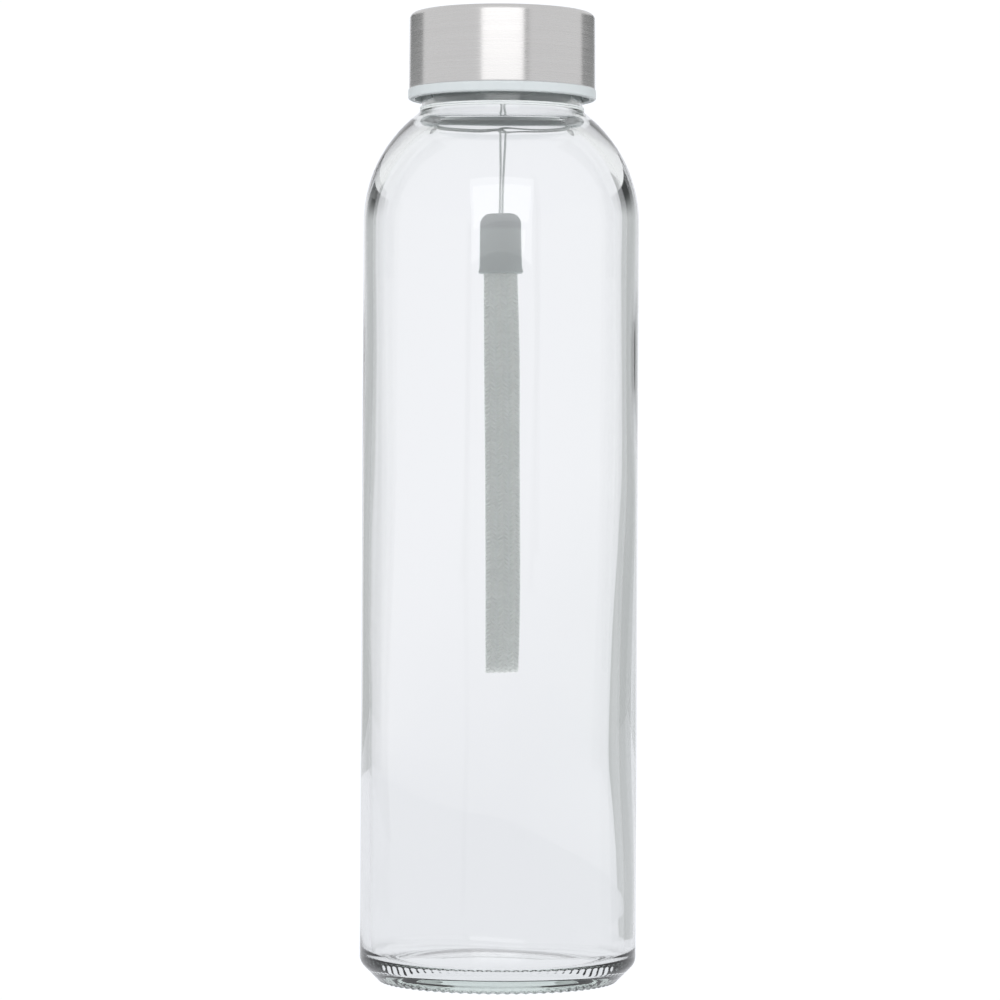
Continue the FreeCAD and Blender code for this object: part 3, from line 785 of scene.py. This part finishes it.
# polyester yarn, flat braided: bright off-white, each yarn with fine filament along it
def makeBraidedPolyester():
    material, tree, shader = newMaterial("braidedPolyester", {
        "Roughness": 0.62, "IOR": 1.54, "Sheen Weight": 0.5, "Sheen Roughness": 0.45})
    place = addNode(tree, "ShaderNodeTexCoord").outputs["Object"]
    cloud = addNode(tree, "ShaderNodeTexNoise", {"Scale": 1 / mm(6), "Detail": 3}, {"Vector": place})
    fibre = addNode(tree, "ShaderNodeTexNoise", {"Scale": 1 / mm(0.16), "Detail": 2}, {"Vector": place})
    colour = addNode(tree, "ShaderNodeMix", {6: linear("#ecf1ef"), 7: linear("#f8fbfa")},
                     {0: cloud.outputs[0]}, data_type="RGBA")
    bump = addNode(tree, "ShaderNodeBump", {"Strength": 0.5, "Distance": mm(0.05)},
                   {"Height": fibre.outputs[0]})
    tree.links.new(colour.outputs[2], shader.inputs["Base Color"])
    tree.links.new(bump.outputs[0], shader.inputs["Normal"])
    return material


print("webbing")
strapWebbing, webbingLine = makeWebbing()
finishWith(strapWebbing, makeBraidedPolyester())
print("webbing length", round(lineLength(webbingLine), 4))
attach(strapWebbing, "strap")
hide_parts("strap_webbing")


# The studio: a bright panel behind the bottle with a grey flag at each side of it, which draws the
# dark edges of the glass, and a large softbox in front. Azimuths are degrees round from straight back.
studio = {
    "panelRight": 18.5, "panelLeft": 19.0, "flagEnd": 64.0, "away": 2.0,
    "panelTop": 1.7, "flagTop": 0.72, "cardBottom": -1.2,
    # each card goes from its foot colour to its glow between two heights
    "panelGlow": (0.915, 0.92, 0.955), "panelFoot": (0.815, 0.825, 0.86), "panelChange": (-0.16, 0.16),
    "flagGlow": (0.06, 0.063, 0.063), "flagFoot": (0.52, 0.535, 0.54), "flagChange": (0.30, 0.6),
    "white": (1.02, 1.04, 1.08), "backdropSize": 6, "floorSize": 40, "floorLightSize": 1.4,
    "mirrored": (0.88, 0.89, 0.90), "around": (1.12, 1.13, 1.14),
    "softbox": {"width": 1.36, "height": 0.80, "distance": 1.35, "up": 0.65, "aim": 0.16, "power": 4.0},
    "strip": {"azimuth": 30.0, "away": 1.5, "up": 0.65, "width": 0.12, "height": 1.2,
              "glow": (0.45, 0.46, 0.46)},
}


# what light sees of the room: the colour, or "around" once it has met cloth, string or plastic
def afterCloth(tree, colour=None):
    links = {0: addNode(tree, "ShaderNodeLightPath").outputs["Diffuse Depth"]}
    if colour:
        links[6] = colour
    walls = addNode(tree, "ShaderNodeMix", {6: (*studio["mirrored"], 1), 7: (*studio["around"], 1)},
                    links, data_type="RGBA")
    return walls.outputs[2]


def glowing(name, glow, foot=None, change=(0, 1)):
    material = bpy.data.materials.new(name)
    material.use_nodes = True
    tree = material.node_tree
    tree.nodes.clear()
    place = addNode(tree, "ShaderNodeNewGeometry").outputs["Position"]
    height = addNode(tree, "ShaderNodeSeparateXYZ", links={0: place}).outputs["Z"]
    share = addNode(tree, "ShaderNodeMapRange", {1: change[0], 2: change[1], 3: 0.0, 4: 1.0},
                    {0: height}, interpolation_type="SMOOTHSTEP")
    colour = addNode(tree, "ShaderNodeMix", {6: (*(foot or glow), 1), 7: (*glow, 1)},
                     {0: share.outputs[0]}, data_type="RGBA")
    light = addNode(tree, "ShaderNodeEmission", {"Strength": 1.0},
                    {"Color": afterCloth(tree, colour.outputs[2])})
    addNode(tree, "ShaderNodeOutputMaterial", links={"Surface": light.outputs[0]})
    return material


def makeCard(name, width, height, place, lookAt, material, seen):  # seen: by the camera and nothing else
    bpy.ops.object.select_all(action="DESELECT")
    bpy.ops.mesh.primitive_plane_add(size=1)
    card = bpy.context.object
    card.name = name
    card.scale = (width, height, 1)
    card.location = place
    card.rotation_euler = (Vector(lookAt) - Vector(place)).to_track_quat("Z", "Y").to_euler()
    card.data.materials.append(material)
    card.visible_camera = seen
    card.visible_diffuse = card.visible_glossy = card.visible_transmission = not seen
    card.visible_shadow = not seen


def cardBetween(name, start, end, top, material):  # an upright card from one azimuth to another
    away, bottom = studio["away"], studio["cardBottom"]
    ends = [Vector((away * math.sin(math.radians(a)), away * math.cos(math.radians(a)), 0))
            for a in (start, end)]
    middle = (ends[0] + ends[1]) / 2 + Vector((0, 0, (top + bottom) / 2))
    makeCard(name, (ends[0] - ends[1]).length, top - bottom, middle, (0, 0, middle.z), material, False)


def softLight(size):
    light = bpy.data.lights.new("softbox", "AREA")
    light.shape = "RECTANGLE"
    light.size = size["width"]
    light.size_y = size["height"]
    light.energy = size["power"]
    lamp = bpy.data.objects.new("softbox", light)
    bpy.context.scene.collection.objects.link(lamp)
    lamp.location = (0, -size["distance"], size["up"])
    lamp.rotation_euler = (Vector((0, 0, size["aim"])) - lamp.location).to_track_quat("-Z", "Y").to_euler()


def makeStudio():
    scene = bpy.context.scene
    scene.view_settings.view_transform = "Standard"
    scene.cycles.max_bounces = 28  # light goes round and round inside thick glass
    scene.cycles.transmission_bounces = 28
    world = bpy.data.worlds.new("studio")
    scene.world = world
    world.use_nodes = True
    tree = world.node_tree
    tree.links.new(afterCloth(tree), tree.nodes["Background"].inputs["Color"])

    side = studio["backdropSize"]
    white = glowing("white", studio["white"])
    makeCard("backdrop", side, side, (0, 3.0, 0.35), (0, 0, 0.35), white, True)
    side = studio["floorSize"]
    makeCard("floor", side, side, (0, 0, -0.0003), (0, 0, 1), white, True)
    side = studio["floorLightSize"]
    makeCard("floorLight", side, side, (0, 0, -0.0004), (0, 0, 1),
             glowing("floorLight", studio["panelFoot"]), False)
    panel = glowing("panel", studio["panelGlow"], studio["panelFoot"], studio["panelChange"])
    cardBetween("panel", -studio["panelLeft"], studio["panelRight"], studio["panelTop"], panel)
    flag = glowing("flag", studio["flagGlow"], studio["flagFoot"], studio["flagChange"])
    cardBetween("flagRight", studio["panelRight"], studio["flagEnd"], studio["flagTop"], flag)
    cardBetween("flagLeft", -studio["flagEnd"], -studio["panelLeft"], studio["flagTop"], flag)

    softLight(studio["softbox"])
    strip = studio["strip"]
    turn = math.radians(strip["azimuth"])
    place = (strip["away"] * math.sin(turn), -strip["away"] * math.cos(turn), strip["up"])
    makeCard("strip", strip["width"], strip["height"], place, (0, 0, strip["up"]),
             glowing("strip", strip["glow"]), False)


print("studio")
makeStudio()
